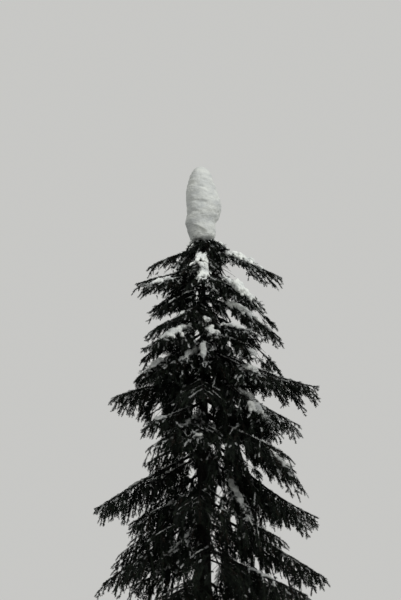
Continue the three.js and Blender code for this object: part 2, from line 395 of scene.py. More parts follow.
def seededRandom(seed):
    state = (seed * draws["seedFactor"] + draws["seedShift"]) % draws["range"]

    def draw():
        nonlocal state
        state = state * draws["factor"] % draws["range"]
        return state / draws["range"]

    return draw


def vary(draw, spread):
    return 1 + spread * (draw() - 0.5)


# trunk

trunk = {
    "top": 11.75,
    "tipRadius": 0.004,
    "taper": 0.0185,
    "flareShare": 0.55,
    "flareHeight": 0.26,
    "lobes": 5,
    "lobeShare": 0.16,
    "steps": 96,
    "rings": 380,
    "ringCrowd": 1.25,      # above 1 the rings lie closer near the ground
    "weld": 0.00005,
    "axis": 0.0001,         # points this near the axis stay where they are
    "crackDepth": 0.011,
    "crackSlimness": 4.0,
    "fullBark": 0.2,        # radius from which the cracks have their full depth
    "deepestShare": 0.2,
    "plateWidth": 0.045,
    "plateHeight": 0.075,
    "plateSink": 0.25,
    "bendScale": 0.6,
    "bend": 0.5,
    "lumpScale": 2.3,
    "lump": 0.35,
}


def trunkRadius(z):
    cone = trunk["tipRadius"] + (trunk["top"] - z) * trunk["taper"]
    return cone * (1 + trunk["flareShare"] * math.exp(-z / trunk["flareHeight"]))


def barkRelief(point, radius):
    width = trunk["plateWidth"]
    cell = Vector((point.x / width, point.y / width, point.z / trunk["plateHeight"]))
    bent = cell + noise.noise_vector(cell * trunk["bendScale"]) * trunk["bend"]
    nearest, second = noise.voronoi(bent)[0][:2]
    crack = max(0.0, 1.0 - (second - nearest) * trunk["crackSlimness"])
    lump = noise.noise(cell * trunk["lumpScale"]) * trunk["lump"]
    depth = trunk["crackDepth"] * min(1.0, radius / trunk["fullBark"])
    return -min(depth * (crack + trunk["plateSink"] + lump), radius * trunk["deepestShare"])


def makeTrunk():
    shares = [ring / trunk["rings"] for ring in range(trunk["rings"] + 1)]
    heights = [trunk["top"] * share ** trunk["ringCrowd"] for share in shares]
    side = [(trunkRadius(z), 0.0, z) for z in heights]
    bm = spinRound([(0.0, 0.0, 0.0), *side, (0.0, 0.0, trunk["top"])], trunk["steps"], trunk["weld"])
    for vert in bm.verts:
        radius = math.hypot(vert.co.x, vert.co.y)
        if radius < trunk["axis"]:
            continue
        angle = math.atan2(vert.co.y, vert.co.x)
        fade = math.exp(-vert.co.z / trunk["flareHeight"])
        lobe = trunk["lobeShare"] * fade * math.cos(trunk["lobes"] * angle)
        scale = (radius * (1 + lobe) + barkRelief(vert.co, radius)) / radius
        vert.co.x *= scale
        vert.co.y *= scale
    bmesh.ops.recalc_face_normals(bm, faces=bm.faces)
    piece = addPiece("trunkWood", meshFromBmesh("trunkWood", bm), [trunkBark])
    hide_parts("trunk")


# without a seed noise_vector takes one from the clock, and the bark would differ from run to run
noise.seed_set(seeds["bark"])
makeTrunk()
print("trunk made")


# boughs by the solids' rule and order of draws, in metres and degrees: root height, aim, reach, drop and
# arch, and for some the share of the usual hanging depth, frost, and snow as from, to and radius

def givenBough(height, aim, reach, drop, arch, **more):
    return {"height": height, "aim": aim, "reach": reach, "drop": drop, "arch": arch, **more}


seenBoughs = [
    givenBough(10.66, -12, 1.23, 0.56, 0.04, snow=(0.26, 0.70, 0.058)),
    givenBough(10.64, 173, 0.86, 0.28, 0.05, hang=0.65),
    givenBough(10.60, -97, 0.82, 0.52, 0.02, snow=(0.18, 0.76, 0.055)),
    givenBough(10.33, 192, 1.06, 0.32, 0.02, hang=0.65),
    givenBough(10.30, 14, 1.14, 0.86, 0.09, snow=(0.17, 0.74, 0.066)),
    givenBough(9.87, -19, 1.25, 0.78, 0.09, snow=(0.24, 0.74, 0.058)),
    givenBough(9.60, 183, 0.96, 0.76, 0.02),
    givenBough(9.45, 9, 1.23, 0.82, 0.22),
    givenBough(9.18, 226, 0.93, 0.56, 0.02),
    givenBough(9.10, -6, 1.75, 0.72, -0.07),
    givenBough(8.62, -22, 1.54, 0.91, 0.0, snow=(0.27, 0.62, 0.048)),
    givenBough(8.42, 186, 1.40, 0.20, 0.11),
    givenBough(8.25, 11, 1.56, 1.40, 0.12, hang=0.5),
    givenBough(7.75, -12, 1.74, 1.40, -0.15),
    givenBough(7.62, -52, 1.18, 1.50, 0.02, snow=(0.36, 0.90, 0.044)),
    givenBough(7.45, 177, 1.64, 0.90, 0.03),
    givenBough(6.55, 6, 1.86, 1.04, 0.02),
    givenBough(6.45, 204, 1.60, 1.12, 0.02),
]

crown = {
    "fillBoughs": 7,
    "fillTop": 10.35,
    "fillSpacing": 0.59,
    "fillSwing": 34,
    "lowerBoughs": 15,
    "lowerTop": 5.95,
    "lowerBottom": 1.95,
    "goldenAngle": 137.5,
    "lowerTurn": -38,
    "widest": 2.06,
    "top": 12.1,
    "swell": 2.5,
    "reachSpread": 0.16,
    "dropShare": 0.5,
    "dropSpread": 0.24,
    "aimSpread": 16,
    "archLeast": -0.018,
    "archMost": 0.042,
    "footRise": 0.12,
    "footHeight": 3.0,
}

limb = {
    "radiusShare": 0.0125,
    "tipRadius": 0.0035,
    "resolution": 3,
    "rings": 30,
    "sway": 0.022,
    "swayTurns": 4.2,
    "barkDepth": 0.0022,
    "barkLumps": [(22.0, 0.6), (60.0, 0.4)],        # how fine, and share
}

twig = {
    "rings": 5,
    "least": 0.0025,
    "most": 0.007,
    "gain": 0.006,
    "tip": 0.0015,
    "reach": 0.9,
}


def ruleReach(height):
    return crown["widest"] * (1 - math.exp(-(crown["top"] - height) / crown["swell"]))


def ruleBough(height, aim, draw):
    reach = ruleReach(height) * vary(draw, crown["reachSpread"])
    foot = max(0.0, 1 - height / crown["footHeight"])
    bough = {"height": height, "reach": reach}
    bough["aim"] = aim + crown["aimSpread"] * (draw() - 0.5)
    bough["drop"] = reach * (crown["dropShare"] * vary(draw, crown["dropSpread"]) - crown["footRise"] * foot)
    bough["arch"] = crown["archLeast"] + (crown["archMost"] - crown["archLeast"]) * draw()
    return bough


def mainBoughs():
    boughs = [dict(bough) for bough in seenBoughs]
    draw = seededRandom(seeds["mainBoughs"])
    for i in range(crown["fillBoughs"]):
        aim = (-90 if i % 3 == 1 else 90) + crown["fillSwing"] * (1 if i % 2 == 0 else -1)
        boughs.append(ruleBough(crown["fillTop"] - i * crown["fillSpacing"], aim, draw))
    for i in range(crown["lowerBoughs"]):
        share = i / (crown["lowerBoughs"] - 1)
        height = crown["lowerTop"] + (crown["lowerBottom"] - crown["lowerTop"]) * share
        boughs.append(ruleBough(height, crown["lowerTurn"] + i * crown["goldenAngle"], draw))
    boughs.sort(key=lambda bough: -bough["height"])
    for number, bough in enumerate(boughs, 1):
        bough["number"] = number
    return boughs


# short boughs, most of which carry the smaller patches of snow

shortBoughs = [
    givenBough(10.70, -85, 0.55, 0.80, 0.15, snow=(0.40, 0.95, 0.055)),
    givenBough(10.25, -150, 1.05, 0.35, 0.00, hang=0.65, snow=(0.45, 0.95, 0.035)),
    givenBough(9.70, -85, 0.70, 0.45, 0.00, snow=(0.70, 0.95, 0.060)),
    givenBough(9.60, -75, 0.80, 0.60, 0.00, snow=(0.70, 0.95, 0.080)),
    givenBough(9.60, -40, 1.15, 0.95, 0.00, snow=(0.75, 0.95, 0.045)),
    givenBough(9.55, -85, 0.85, 1.05, 0.25, snow=(0.70, 0.95, 0.060)),
    givenBough(10.40, -90, 0.90, 0.55, 0.00, snow=(0.35, 0.95, 0.065)),
    givenBough(10.35, -35, 1.05, 0.75, 0.00, snow=(0.40, 0.95, 0.070)),
    givenBough(9.55, -115, 1.45, 0.70, 0.00, frost=0.25, snow=(0.40, 0.95, 0.065)),
    givenBough(9.45, -50, 1.15, 0.35, 0.00, snow=(0.30, 0.95, 0.035)),
    givenBough(9.30, -135, 1.25, 0.85, 0.00, frost=0.25, snow=(0.70, 0.95, 0.050)),
    givenBough(9.10, -120, 0.75, 0.45, 0.00, snow=(0.20, 0.95, 0.055)),
    givenBough(9.05, -45, 1.25, 0.65, 0.00, snow=(0.65, 0.95, 0.050)),
    givenBough(8.90, -50, 1.40, 1.20, 0.00, snow=(0.75, 0.95, 0.085)),
    givenBough(8.20, -125, 1.30, 0.55, 0.00, snow=(0.80, 0.95, 0.040)),
    givenBough(8.10, -95, 1.25, 0.75, 0.00, snow=(0.80, 0.95, 0.035)),
    givenBough(8.05, -110, 0.90, 0.40, 0.00, snow=(0.10, 0.95, 0.030)),
    givenBough(8.05, -25, 1.50, 1.05, 0.00, snow=(0.65, 0.95, 0.050)),
    givenBough(10.80, -15, 0.45, 0.25, 0.05, snow=(0.35, 0.80, 0.025)),
    givenBough(10.80, 15, 0.40, 0.20, 0.05),
    givenBough(10.55, -160, 0.65, 0.35, 0.05, snow=(0.20, 0.60, 0.030)),
    givenBough(10.45, 160, 0.75, 0.40, 0.05),
    givenBough(10.10, 170, 0.85, 0.45, 0.05),
    givenBough(10.00, -145, 0.80, 0.45, 0.05),
    givenBough(6.40, -130, 0.90, 0.70, 0.00, snow=(0.25, 0.95, 0.030)),
]


# smaller boughs grow between the main ones, inside their reach

between = [
    {"count": 78, "top": 10.66, "bottom": 1.75, "crowd": 0.80, "turn": 61, "reach": 0.78, "sideReach": 0.58},
    {"count": 30, "top": 10.58, "bottom": 8.20, "crowd": 1.0, "turn": 200, "reach": 0.50, "sideReach": 0.42},
    {"count": 24, "top": 10.80, "bottom": 10.66, "crowd": 1.0, "turn": 20, "reach": 0.44, "sideReach": 0.42,
     "steep": 2.0, "arch": 0.11},
]
sideWidth = 42      # degrees round the left and right outline


def sideways(aim):
    turned = abs((aim + 180) % 360 - 180)
    return min(turned, 180 - turned) < sideWidth


def betweenBoughs():
    boughs = [dict(bough) for bough in shortBoughs]
    draw = seededRandom(seeds["betweenBoughs"])
    for group in between:
        for i in range(group["count"]):
            share = (i / (group["count"] - 1)) ** group["crowd"]
            height = group["top"] + (group["bottom"] - group["top"]) * share
            bough = ruleBough(height, group["turn"] + i * crown["goldenAngle"], draw)
            shrink = group["sideReach"] if sideways(bough["aim"]) else group["reach"]
            bough["drop"] *= shrink * group.get("steep", 1.0)
            bough["reach"] *= shrink
            bough["arch"] += group.get("arch", 0.0)
            boughs.append(bough)
    return boughs


def boughPoint(bough, t):
    t = np.asarray(t, dtype=float)
    aim = math.radians(bough["aim"])
    along = bough["reach"] * t
    aside = bough["sway"] * np.sin(np.pi * t) * np.sin(bough["phase"] + limb["swayTurns"] * t)
    x = math.cos(aim) * along - math.sin(aim) * aside
    y = math.sin(aim) * along + math.cos(aim) * aside
    z = bough["height"] - bough["drop"] * t + 4 * bough["arch"] * t * (1 - t)
    return np.stack([x, y, z], axis=-1)


def boughRadius(bough, t):
    return limb["tipRadius"] + bough["reach"] * limb["radiusShare"] * (1 - t)


def boughSlope(bough, t):
    return (bough["drop"] - 4 * bough["arch"] * (1 - 2 * t)) / bough["reach"]


# tapering round wood along many paths at once, from one bevelled curve

def tubeMesh(name, paths, resolution):
    curve = bpy.data.curves.new(name, "CURVE")
    curve.dimensions = "3D"
    curve.bevel_depth = 1.0
    curve.bevel_resolution = resolution
    curve.use_fill_caps = True
    for points, radii in paths:
        spline = curve.splines.new("POLY")
        spline.points.add(len(points) - 1)
        spline.points.foreach_set("co", np.column_stack([points, np.ones(len(points))]).ravel())
        spline.points.foreach_set("radius", radii)
    holder = bpy.data.objects.new(name, curve)
    scene.collection.objects.link(holder)
    evaluated = holder.evaluated_get(bpy.context.evaluated_depsgraph_get())
    mesh = bpy.data.meshes.new_from_object(evaluated)
    bpy.data.objects.remove(holder)
    return mesh


# sprays: twigs on both sides of a bough, with branchlets that hang from them

spray = {
    "first": 0.13,
    "last": 0.88,
    "pitch": 0.076,
    "angle": 54,
    "angleFade": 0.25,
    "angleSpread": 0.3,
    "lengthShare": 0.37,
    "droop": 0.12,
    "curl": 0.16,
    "hangLeast": 0.17,
    "hangMost": 0.62,
    "hangGain": 0.11,
    "rootHang": 1.15,
    "tipHang": 0.70,
    "sizeSpread": 0.3,
    "placeSpread": 0.4,
    "swellStart": 0.12,
    "slimmest": 0.2,
    "fewest": 6,
    "beyond": 0.05,         # how far its shoots may pass the solids' box
    "grain": 0.082,         # how much coarser it grows for each metre under the top
}

branchlet = {
    "pitch": 0.054,
    "fewest": 2,
    "places": (0.15, 0.85),
    "depths": (0.45, 1.0),
    "depthFade": 0.5,
    "leans": (0.5, 1.2),
    "sideLean": 0.22,
    "frost": 0.12,          # share of its bough's frost
    "topLean": 0.95,        # how far it points outwards, high in the crown
    "lowLean": 0.32,
    "leanFrom": 7.3,
    "leanTo": 10.2,
    "shootPitch": 0.045,
    "shootPlaces": (0.10, 0.90),
    "shootLength": (0.045, 0.090),
    "shootTaper": (1.15, 0.5),      # share at the root, and loss towards the tip
    "shootAlong": 0.8,
    "shootOut": 0.62,
    "shootFrost": 0.5,
}

# shoots along a twig, and at its drawn-out tip
twigShoots = {
    "pitch": 0.075,
    "fewest": 2,
    "first": 0.2,
    "overlap": 1.3,
    "side": 0.8,
    "rise": (-0.5, 0.15),
    "length": (0.06, 0.12),
    "tipStep": 0.05,
    "tipFall": 0.02,
    "tipLength": 0.10,
}

# branchlets and shoots along the bough itself
leaderShoots = {
    "hangFrom": 0.16,
    "hangPitch": 0.046,
    "places": (0.1, 0.9),
    "depths": (0.45, 0.95),
    "shallowest": 0.06,
    "leans": (0.3, 1.0),
    "stray": 0.16,
    "first": 0.28,
    "pitch": 0.065,
    "overlap": 1.4,
    "side": 0.9,
    "rise": (-0.35, 0.1),
    "length": (0.06, 0.14),
}
ahead = 0.02        # step that reads which way a twig or bough runs

# openings in the crown that the sky shows through: sideways, up, half width, half height
skyGaps = [
    (0.35, 10.30, 0.10, 0.15),
    (0.55, 10.20, 0.15, 0.20),
    (-0.60, 10.25, 0.20, 0.10),
    (-0.85, 9.80, 0.20, 0.10),
    (-0.45, 9.55, 0.05, 0.05),
    (0.40, 9.60, 0.05, 0.10),
    (0.85, 9.55, 0.10, 0.10),
    (0.40, 9.10, 0.05, 0.10),
    (-0.10, 9.25, 0.05, 0.10),
    (0.85, 8.95, 0.15, 0.10),
    (0.10, 8.15, 0.05, 0.10),
    (0.50, 8.10, 0.05, 0.10),
    (-0.70, 8.05, 0.10, 0.15),
    (0.15, 7.50, 0.05, 0.10),
    (0.30, 7.45, 0.05, 0.10),
    (0.60, 7.45, 0.05, 0.15),
    (-0.25, 7.30, 0.05, 0.10),
    (0.70, 7.20, 0.05, 0.15),
    (0.25, 7.15, 0.05, 0.10),
    (0.25, 6.80, 0.10, 0.10),
    (0.20, 6.60, 0.05, 0.10),
    (0.35, 6.85, 0.05, 0.05),
    (0.45, 6.35, 0.10, 0.10),
    (-0.40, 6.15, 0.05, 0.10),
    (0.15, 5.70, 0.15, 0.15),
    (0.80, 5.70, 0.05, 0.10),
]

gapEdge = (0.45, 1.0)       # how ragged an opening's edge is
gapTests = (0.0, 0.35, 0.7, 1.0)        # places along a shoot

sight = {
    "clear": 0.80,          # how much of the snow's radius is kept free
    "points": 7,
    "lift": 0.7,
    "tests": (0.0, 0.5, 1.0),
}

frosting = {
    "snowyBough": 0.22,
    "most": 0.10,
    "least": 0.045,
    "from": 7.0,
    "to": 10.0,
}

crumb = {
    "pitch": 130,           # for each metre of snow
    "fewest": 12,
    "before": 0.02,
    "after": 0.03,
    "spread": 0.5,
    "flat": (1.0, 1.0, 0.4),
    "fall": 0.35,
    "length": (0.045, 0.085),
    "width": 0.9,
    "frostGain": 3.2,
}

shoot = {
    "needleWidth": 0.0205,
    "coarsening": 0.3,
    "classes": [(0.0, 4), (0.095, 6), (0.18, 9), (0.30, 14)],    # from this length, this many needles a rank
    "longest": 9.0,
    "ranks": 3,
    "variants": 5,
    "turn": 0.45,
    "out": (0.8, 1.12),
    "lastOut": 0.62,
    "slant": (0.1, 0.7),
}


def hangAt(bough):
    depth = min(spray["hangMost"], spray["hangLeast"] + (trunk["top"] - bough["height"]) * spray["hangGain"])
    return depth * bough.get("hang", 1.0)


def spraySwell(t):
    place = min(1.0, spray["swellStart"] + t * (1 - spray["swellStart"]))
    return spray["slimmest"] + (1 - spray["slimmest"]) * math.sin(math.pi * place)


def tipTaper(t):
    return spray["rootHang"] - (spray["rootHang"] - spray["tipHang"]) * t * t


def boughSprays(bough):
    draw = seededRandom(bough["seed"])
    wanted = round((spray["last"] - spray["first"]) * bough["reach"] / (spray["pitch"] * bough["grain"]))
    count = max(spray["fewest"], wanted)
    sprays = []
    for i in range(count):
        place = (i + 0.5 + spray["placeSpread"] * (draw() - 0.5)) / count
        t = spray["first"] + (spray["last"] - spray["first"]) * place
        side = 1 if (i + bough["seed"]) % 2 == 0 else -1
        turn = side * spray["angle"] * (1 - spray["angleFade"] * t) * vary(draw, spray["angleSpread"])
        length = bough["reach"] * spray["lengthShare"] * spraySwell(t) * vary(draw, spray["sizeSpread"])
        hang = hangAt(bough) * tipTaper(t) * spraySwell(t) * vary(draw, spray["sizeSpread"])
        slope = max(0.0, boughSlope(bough, t) * math.cos(math.radians(turn))) + spray["droop"]
        heading = math.radians(bough["aim"] + turn)
        way = np.array([math.cos(heading), math.sin(heading), 0.0])
        sprays.append({"t": t, "way": way, "length": length, "hang": hang, "slope": slope})
    return sprays


def sprayPoint(bough, item, s):
    root = boughPoint(bough, item["t"])
    s = np.asarray(s, dtype=float)[..., None]
    fall = item["slope"] * s + spray["curl"] * s * s / item["length"]
    return root + item["way"] * s - up * fall


# where the camera sees a point against the plane of the trunk
def onTrunkPlane(points):
    scale = view["distance"] / (view["distance"] + points[:, 1])
    return points[:, 0] * scale, view["eyeHeight"] + (points[:, 2] - view["eyeHeight"]) * scale


# whether a shoot crosses one of the openings
def inSkyGap(roots, ways, lengths, random):
    hit = np.zeros(len(roots), dtype=bool)
    ragged = random.uniform(*gapEdge, len(roots)) ** 2
    for share in gapTests:
        x, z = onTrunkPlane(roots + ways * (lengths * share)[:, None])
        for gapX, gapZ, wide, high in skyGaps:
            hit |= ((x - gapX) / wide) ** 2 + ((z - gapZ) / high) ** 2 < ragged
    return hit


# patches of snow that nothing hangs in front of: sideways, up, radius, how near
def snowSights(boughs):
    sights = []
    for bough in boughs:
        if "snow" in bough:
            start, end, radius = bough["snow"]
            points = boughPoint(bough, np.linspace(start, end, sight["points"])) + up * radius * sight["lift"]
            x, z = onTrunkPlane(points)
            for row in zip(x, z, points[:, 1]):
                sights.append((*row, radius * sight["clear"], bough["seed"]))
    return np.array(sights)


# whether a shoot of another bough hangs in front of such a patch
def hidesSnow(roots, ways, lengths, sights):
    hit = np.zeros(len(roots), dtype=bool)
    for share in sight["tests"]:
        points = roots + ways * (lengths * share)[:, None]
        x, z = onTrunkPlane(points)
        away = np.hypot(x[:, None] - sights[None, :, 0], z[:, None] - sights[None, :, 1])
        nearer = points[:, 1:2] < sights[None, :, 2]
        hit |= ((away < sights[None, :, 3]) & nearer).any(axis=1)
    return hit


def frostAt(bough):
    if "snow" in bough:
        return bough.get("frost", frosting["snowyBough"])
    share = min(1.0, max(0.0, (bough["height"] - frosting["from"]) / (frosting["to"] - frosting["from"])))
    return frosting["least"] + (frosting["most"] - frosting["least"]) * share


class Shoots:
    def __init__(self, random, grain, frost, sights):
        self.random = random
        self.grain = grain
        self.coarse = grain ** shoot["coarsening"]
        self.frost = frost
        self.sights = sights
        self.rows = []

    # one row a shoot: root, way, length, width and colour
    def add(self, roots, ways, lengths, frostShare=1.0, width=1.0):
        count = len(roots)
        lengths = np.broadcast_to(lengths, count)
        widths = np.broadcast_to(width * self.coarse, count)
        slots = self.random.choice(frostSlot, size=count, p=slotShares / slotShares.sum())
        slots = np.where(self.random.random(count) < self.frost * frostShare, frostSlot, slots)
        self.rows.append(np.column_stack([roots, unit(ways), lengths, widths, slots]))

    # a branchlet is a long shoot with short ones on all its sides
    def addBranchlets(self, roots, ways, depths):
        ways = unit(ways)
        kept = ~inSkyGap(roots, ways, depths, self.random)
        roots, ways, depths = roots[kept], ways[kept], depths[kept]
        self.add(roots, ways, depths, branchlet["frost"])
        number = np.maximum(1, (depths / (branchlet["shootPitch"] * self.grain)).astype(int))
        owner = np.repeat(np.arange(len(roots)), number)
        place = self.random.uniform(*branchlet["shootPlaces"], len(owner))
        starts = roots[owner] + ways[owner] * (place * depths[owner])[:, None]
        out = unit(np.cross(ways[owner], self.random.normal(0, 1, (len(owner), 3))))
        atRoot, loss = branchlet["shootTaper"]
        lengths = self.random.uniform(*branchlet["shootLength"], len(owner))
        lengths = lengths * (atRoot - loss * place) * self.coarse
        ways = ways[owner] * branchlet["shootAlong"] + out * branchlet["shootOut"]
        self.add(starts, ways, lengths, branchlet["shootFrost"])

    # all rows but the shoots that pass the solids' box, cross an opening or hide snow
    def table(self):
        rows = np.concatenate(self.rows)
        tips = rows[:, 0:3] + rows[:, 3:6] * rows[:, 6:7]
        kept = np.all((tips > lowest - spray["beyond"]) & (tips < highest + spray["beyond"]), axis=1)
        kept &= ~inSkyGap(rows[:, 0:3], rows[:, 3:6], rows[:, 6], self.random)
        kept &= ~hidesSnow(rows[:, 0:3], rows[:, 3:6], rows[:, 6], self.sights)
        return rows[kept]


slotShares = np.array([look["share"] for look in needleLooks[:frostSlot]])


def leanAt(height):
    share = (height - branchlet["leanFrom"]) / (branchlet["leanTo"] - branchlet["leanFrom"])
    share = min(1.0, max(0.0, share))
    return branchlet["lowLean"] + (branchlet["topLean"] - branchlet["lowLean"]) * share


# needles along a twig or bough, and short shoots on both sides of it
def growAlong(roots, ways, across, pitch, look, shoots):
    random = shoots.random
    count = len(roots)
    shoots.add(roots, ways, pitch * look["overlap"])
    side = across * random.choice([-look["side"], look["side"]], (count, 1))
    rise = up * random.uniform(*look["rise"], (count, 1))
    shoots.add(roots, ways + side + rise, random.uniform(*look["length"], count))


def growSpray(bough, item, shoots):
    random = shoots.random
    length = item["length"]
    way = item["way"]
    across = np.cross(way, up)

    count = max(branchlet["fewest"], int(length / (branchlet["pitch"] * bough["grain"])))
    s = (np.arange(count) + random.uniform(*branchlet["places"], count)) / count * length
    depths = item["hang"] * (1 - branchlet["depthFade"] * (s / length) ** 2)
    depths = depths * random.uniform(*branchlet["depths"], count)
    lean = way * (leanAt(bough["height"]) * random.uniform(*branchlet["leans"], (count, 1)))
    lean = lean + across * random.normal(0, branchlet["sideLean"], (count, 1))
    shoots.addBranchlets(sprayPoint(bough, item, s), lean - up, depths)

    count = max(twigShoots["fewest"], int(length / twigShoots["pitch"]))
    s = (np.arange(count) + twigShoots["first"]) / count * length
    roots = sprayPoint(bough, item, s)
    ways = unit(sprayPoint(bough, item, s + ahead) - roots)
    growAlong(roots, ways, across, length / count, twigShoots, shoots)

    tip = sprayPoint(bough, item, [length])
    beyond = sprayPoint(bough, item, [length + twigShoots["tipStep"]])
    shoots.add(tip, beyond - tip - up * twigShoots["tipFall"], twigShoots["tipLength"])


def growLeader(bough, shoots):
    random = shoots.random
    reach = bough["reach"]
    aim = math.radians(bough["aim"])
    way = np.array([math.cos(aim), math.sin(aim), 0.0])
    first = leaderShoots["hangFrom"]
    count = int((1 - first) * reach / (leaderShoots["hangPitch"] * bough["grain"]))
    t = first + (1 - first) * (np.arange(count) + random.uniform(*leaderShoots["places"], count)) / count
    swell = np.array([spraySwell(value) for value in t])
    depths = hangAt(bough) * tipTaper(t) * swell * random.uniform(*leaderShoots["depths"], count)
    depths = np.maximum(depths, leaderShoots["shallowest"])
    lean = way * (leanAt(bough["height"]) * random.uniform(*leaderShoots["leans"], (count, 1)))
    lean = lean + random.normal(0, leaderShoots["stray"], (count, 3))
    shoots.addBranchlets(boughPoint(bough, t), lean - up, depths)

    first = leaderShoots["first"]
    count = int((1 - first) * reach / leaderShoots["pitch"])
    t = first + (1 - first) * np.arange(count) / count
    roots = boughPoint(bough, t)
    ways = unit(boughPoint(bough, t + ahead) - roots)
    growAlong(roots, ways, np.cross(ways, up), reach * (1 - first) / count, leaderShoots, shoots)


# frosted shoots that break up the edge of the snow on a bough
def growCrumbs(bough, shoots):
    random = shoots.random
    start, end, radius = bough["snow"]
    count = max(crumb["fewest"], int((end - start) * bough["reach"] * crumb["pitch"]))
    t = random.uniform(start - crumb["before"], end + crumb["after"], count)
    roots = boughPoint(bough, t) + random.normal(0, crumb["spread"], (count, 3)) * radius * crumb["flat"]
    ways = random.normal(0, 1, (count, 3)) * crumb["flat"] - up * crumb["fall"]
    shoots.add(roots, ways, random.uniform(*crumb["length"], count), crumb["frostGain"], crumb["width"])


def shootTemplate(teeth, random):
    axis = np.zeros((teeth + 1, 3))
    axis[:, 0] = np.linspace(0, 1, teeth + 1)
    tips = []
    faces = []
    for rank in range(shoot["ranks"]):
        for i in range(teeth):
            angle = math.tau * rank / shoot["ranks"] + random.uniform(-shoot["turn"], shoot["turn"])
            out = random.uniform(*shoot["out"]) * (shoot["lastOut"] if i == teeth - 1 else 1.0)
            along = (i + 1 + random.uniform(*shoot["slant"])) / teeth
            tips.append((along, out * math.cos(angle), out * math.sin(angle)))
            faces.append((i, i + 1, teeth + len(tips)))
    return np.vstack([axis, np.array(tips)]), np.array(faces)


def shootArrays(table, random):
    corners = []
    faces = []
    slots = []
    base = 0
    limits = [start for start, teeth in shoot["classes"]] + [shoot["longest"]]
    for (low, teeth), high in zip(shoot["classes"], limits[1:]):
        for variant in range(shoot["variants"]):
            template, triangles = shootTemplate(teeth, random)
            chosen = (table[:, 6] >= low) & (table[:, 6] < high)
            chosen &= np.arange(len(table)) % shoot["variants"] == variant
            rows = table[chosen]
            if not len(rows):
                continue
            way = rows[:, 3:6]
            side = unit(np.cross(way, random.normal(0, 1, (len(rows), 3))))
            other = np.cross(way, side)
            width = rows[:, 7:8, None] * shoot["needleWidth"]
            placed = rows[:, None, 0:3] + way[:, None] * (template[None, :, 0:1] * rows[:, 6:7, None])
            placed = placed + side[:, None] * template[None, :, 1:2] * width
            placed = placed + other[:, None] * template[None, :, 2:3] * width
            offset = base + np.arange(len(rows)) * len(template)
            corners.append(placed.reshape(-1, 3))
            faces.append((triangles[None] + offset[:, None, None]).reshape(-1, 3))
            slots.append(np.repeat(rows[:, 8], len(triangles)))
            base += len(rows) * len(template)
    return np.concatenate(corners), np.concatenate(faces), np.concatenate(slots)


def shootTriangles(table):
    starts = np.array([start for start, teeth in shoot["classes"]])
    teeth = np.array([teeth for start, teeth in shoot["classes"]])
    return int(teeth[np.searchsorted(starts, table[:, 6], side="right") - 1].sum() * shoot["ranks"])


mostTriangles = 165000      # in one needle piece


def makeNeedlePieces(grown):
    batches = []
    room = 0
    for bough, table in grown:
        size = shootTriangles(table)
        if room < size:
            batches.append([])
            room = mostTriangles
        room -= size
        batches[-1].append((bough, table))
    total = 0
    for place, batch in enumerate(batches, 1):
        table = np.concatenate([table for bough, table in batch])
        name = f"needles_{place}"
        random = np.random.default_rng(seeds["shootShapes"] + place)
        mesh = meshFromArrays(name, *shootArrays(table, random))
        piece = addPiece(name, mesh, needleSkins, smooth=False)
        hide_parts(*[f"foliage_{bough['number']:02d}" for bough, table in batch if "number" in bough])
        total += len(mesh.polygons)
    print("needle pieces", len(batches), "triangles", total)


def makeWood(boughs):
    t = np.linspace(0, 1, limb["rings"])
    paths = [(boughPoint(bough, t), boughRadius(bough, t)) for bough in boughs]
    bm = bmesh.new()
    bm.from_mesh(tubeMesh("boughWood", paths, limb["resolution"]))
    bmesh.ops.recalc_face_normals(bm, faces=bm.faces)
    bm.normal_update()
    for vert in bm.verts:
        bump = sum(noise.noise(vert.co * scale) * share for scale, share in limb["barkLumps"])
        vert.co += vert.normal * bump * limb["barkDepth"]
    piece = addPiece("boughWood", meshFromBmesh("boughWood", bm), [boughBark])
    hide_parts(*[name for name in nodeNames if name.startswith("bough_")])
    print("bough wood faces", len(piece.data.polygons))


def makeTwigs(boughs):
    paths = []
    for bough in boughs:
        for item in bough["sprays"]:
            s = np.linspace(0, item["length"] * twig["reach"], twig["rings"])
            thick = min(twig["most"], twig["least"] + item["length"] * twig["gain"])
            paths.append((sprayPoint(bough, item, s), np.linspace(thick, twig["tip"], twig["rings"])))
    piece = addPiece("twigs", tubeMesh("twigs", paths, 0), [boughBark])
    print("twigs", len(paths), "faces", len(piece.data.polygons))


def growCrown():
    boughs = mainBoughs() + betweenBoughs()
    boughs.sort(key=lambda bough: -bough["height"])
    for place, bough in enumerate(boughs):
        random = np.random.default_rng(seeds["needles"] + place)
        bough["random"] = random
        bough["seed"] = bough.get("number", seeds["unnumbered"] + place)
        bough["grain"] = 1 + spray["grain"] * (trunk["top"] - bough["height"])
        bough["sway"] = limb["sway"] * bough["reach"] * random.uniform(-1, 1)
        bough["phase"] = random.uniform(0, math.tau)
        bough["sprays"] = boughSprays(bough)
    sights = snowSights(boughs)
    grown = []
    for bough in boughs:
        others = sights[sights[:, 4] != bough["seed"]]
        shoots = Shoots(bough["random"], bough["grain"], frostAt(bough), others)
        for item in bough["sprays"]:
            growSpray(bough, item, shoots)
        growLeader(bough, shoots)
        if "snow" in bough:
            growCrumbs(bough, shoots)
        grown.append((bough, shoots.table()))
    return boughs, grown


boughs, grown = growCrown()
makeWood(boughs)
makeTwigs(boughs)
makeNeedlePieces(grown)
print("boughs", len(boughs), "shoots", sum(len(table) for bough, table in grown))


# the cap of settled snow on the leader

